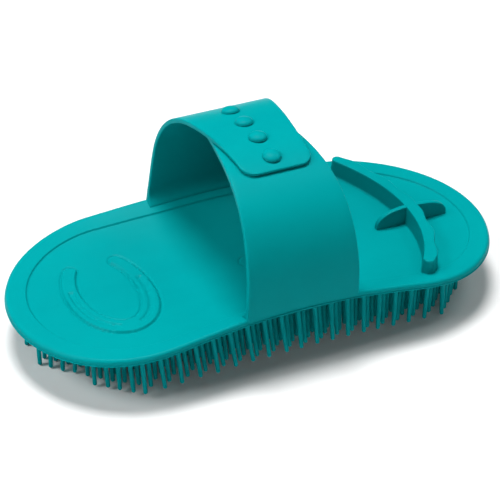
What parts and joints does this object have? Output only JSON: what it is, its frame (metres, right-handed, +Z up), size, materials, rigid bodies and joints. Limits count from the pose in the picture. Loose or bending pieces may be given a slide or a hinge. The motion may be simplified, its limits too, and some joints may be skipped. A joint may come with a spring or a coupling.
{
  "type": "curry comb",
  "caption": "Flexible moulded curry comb: oval pad with a field of long round-tipped tines below, a buttoned hand strap over the waist and a curved finger rib on one lobe.",
  "frame": {"origin": "centre of the pad at the level of the tine tips", "axes": "+X along the pad's length towards the lobe with the finger rib, +Y across the pad towards the root of the upper strap half, +Z up out of the pad's top"},
  "size_m": [0.19, 0.088, 0.0744],
  "materials": {
    "moulded_plastic": "semi-matte, flexible"
  },
  "bodies": {
    "pad": {"pad": "moulded_plastic", "cross_rib": "moulded_plastic", "finger_rib_near": "moulded_plastic", "finger_rib_far": "moulded_plastic", "emblem": "moulded_plastic", "tine_row_01": "moulded_plastic", "tine_row_02": "moulded_plastic", "tine_row_03": "moulded_plastic", "tine_row_04": "moulded_plastic", "tine_row_05": "moulded_plastic", "tine_row_06": "moulded_plastic", "tine_row_07": "moulded_plastic", "tine_row_08": "moulded_plastic", "tine_row_09": "moulded_plastic", "tine_row_10": "moulded_plastic", "tine_row_11": "moulded_plastic", "tine_row_12": "moulded_plastic", "tine_row_13": "moulded_plastic", "tine_row_14": "moulded_plastic", "tine_row_15": "moulded_plastic", "tine_row_16": "moulded_plastic", "tine_row_17": "moulded_plastic", "tine_row_18": "moulded_plastic", "tine_row_19": "moulded_plastic", "tine_row_20": "moulded_plastic", "tine_row_21": "moulded_plastic", "tine_row_22": "moulded_plastic", "tine_row_23": "moulded_plastic", "tine_row_24": "moulded_plastic", "tine_row_25": "moulded_plastic"},
    "near_strap": {"near_strap": "moulded_plastic", "strap_studs": "moulded_plastic"},
    "far_strap": {"far_strap": "moulded_plastic"}
  },
  "joints": [
    {"name": "far_strap_open", "type": "hinge", "parent": "pad", "child": "far_strap", "pos_m": [0, 0.04135, 0.0253], "axis": [-1, 0, 0], "range_deg": [0, 95], "deforming": ["strap_studs"]},
    {"name": "near_strap_open", "type": "hinge", "parent": "pad", "child": "near_strap", "pos_m": [0, -0.04135, 0.0253], "axis": [1, 0, 0], "range_deg": [0, 33.5]}
  ],
  "couplings": [
    {"joint": "near_strap_open", "follows": "far_strap_open", "ratio": 0.35}
  ]
}
